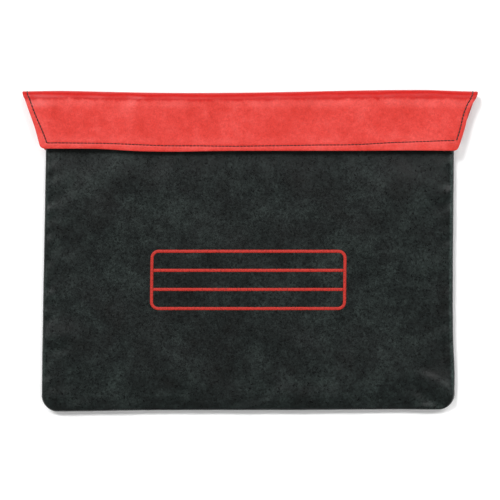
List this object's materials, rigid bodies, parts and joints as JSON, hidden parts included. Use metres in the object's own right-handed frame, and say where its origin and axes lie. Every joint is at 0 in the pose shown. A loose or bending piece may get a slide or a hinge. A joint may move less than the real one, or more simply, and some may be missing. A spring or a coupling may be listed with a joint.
{
  "type": "fire-resistant document pouch",
  "caption": "Flat insulated document pouch in black coated fabric, open along one long side and closed by a red fold-over flap with a hook and loop strip.",
  "frame": {"origin": "under the middle of the closed pouch, on the surface that its back lies on", "axes": "+X along the mouth, +Y from the base seam towards the flap's fold, +Z out of the front face"},
  "size_m": [0.394, 0.275, 0.015],
  "materials": {
    "black_coated_fabric": "satin leather-grain coating",
    "red_coated_fabric": "satin leather-grain coating",
    "glass_felt": "matte needled felt",
    "coated_glass_cloth": "satin silicone-coated weave",
    "black_tape": "matte woven tape",
    "black_thread": "twisted sewing thread",
    "red_print": "screen-printed ink"
  },
  "bodies": {
    "bag": {"back_shell": "black_coated_fabric", "front_shell": "black_coated_fabric", "back_insulation": "glass_felt", "front_insulation": "glass_felt", "back_lining": "coated_glass_cloth", "front_lining": "coated_glass_cloth", "seam_binding": "black_tape", "seam_needle_thread": "black_thread", "seam_bobbin_thread": "black_thread", "mouth_binding": "black_tape", "mouth_thread": "black_thread", "front_print": "red_print", "loop_tape": "black_tape", "loop_tape_thread": "black_thread", "rear_yoke": "red_coated_fabric", "rear_yoke_thread": "black_thread", "fold_outer": "red_coated_fabric", "fold_lining": "red_coated_fabric"},
    "flap": {"flap_outer": "red_coated_fabric", "flap_insulation": "glass_felt", "flap_lining": "red_coated_fabric", "flap_needle_thread": "black_thread", "flap_bobbin_thread": "black_thread", "hook_tape": "black_tape", "hook_tape_thread": "black_thread"}
  },
  "joints": [
    {"name": "flap_hinge", "type": "hinge", "parent": "bag", "child": "flap", "pos_m": [0, 0.13055, 0.0075], "axis": [-1, 0, 0], "range_deg": [0, 180], "deforming": ["fold_outer", "fold_lining"]}
  ]
}
